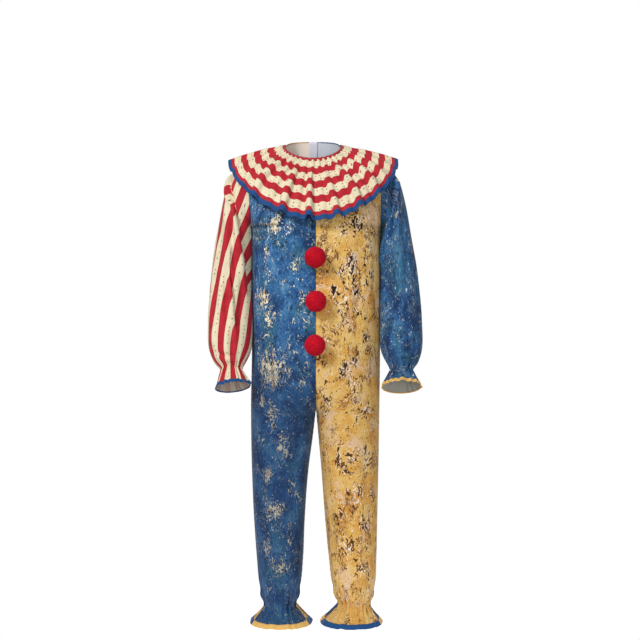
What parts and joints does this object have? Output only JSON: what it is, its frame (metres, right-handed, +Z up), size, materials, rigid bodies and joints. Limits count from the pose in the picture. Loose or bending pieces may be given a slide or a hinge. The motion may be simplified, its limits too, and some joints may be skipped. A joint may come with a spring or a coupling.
{
  "type": "clown jumpsuit",
  "caption": "Hollow worn-shape clown jumpsuit in two print colours with a striped sleeve, gathered ruffle collar, pompoms, bound elasticated frills and a back zip.",
  "frame": {"origin": "the middle of the wearer's shoulder line, at the height of the neck's side, where the shoulders hold the suit up", "axes": "+Z up along the suit's length, -Y out of its front, +X towards the wearer's left"},
  "size_m": [0.634, 0.3467, 1.4551],
  "materials": {
    "blue_print": "matte woven polyester, mottled blue print with pale flecks",
    "yellow_print": "matte woven polyester, mottled ochre print with brown and black flecks",
    "striped_print": "matte woven polyester, lengthwise red and cream stripes with small dots",
    "collar_stripes": "matte woven polyester, red and cream stripes that run round the collar",
    "blue_tape": "matte bias tape",
    "yellow_tape": "matte bias tape",
    "red_tape": "matte gathered tape",
    "elastic": "ribbed woven elastic",
    "red_yarn": "fuzzy cut yarn",
    "zip_tape": "woven zip tape with a nylon coil",
    "zip_metal": "satin white lacquer on die-cast zinc"
  },
  "bodies": {
    "suit": {"front_blue": "blue_print", "front_yellow": "yellow_print", "back_yellow": "yellow_print", "back_blue": "blue_print", "sleeve_striped": "striped_print", "sleeve_blue": "blue_print", "collar": "collar_stripes", "collar_binding": "blue_tape", "neckband": "red_tape", "cuff_binding_blue": "blue_tape", "cuff_binding_yellow": "yellow_tape", "ankle_binding_front_yellow": "yellow_tape", "ankle_binding_back_blue": "blue_tape", "ankle_binding_front_blue": "blue_tape", "ankle_binding_back_yellow": "yellow_tape", "ankle_elastic_right": "elastic", "ankle_elastic_left": "elastic", "wrist_elastic_right": "elastic", "wrist_elastic_left": "elastic", "pompom_top": "red_yarn", "pompom_middle": "red_yarn", "pompom_bottom": "red_yarn", "zip_tape": "zip_tape", "zip_slider": "zip_metal"},
    "pull": {"zip_pull": "zip_metal"}
  },
  "joints": [
    {"name": "pull_hinge", "type": "hinge", "parent": "suit", "child": "pull", "pos_m": [-0.009, 0.07291, 0.01839], "axis": [1, 0, 0], "range_deg": [0, 165]}
  ]
}
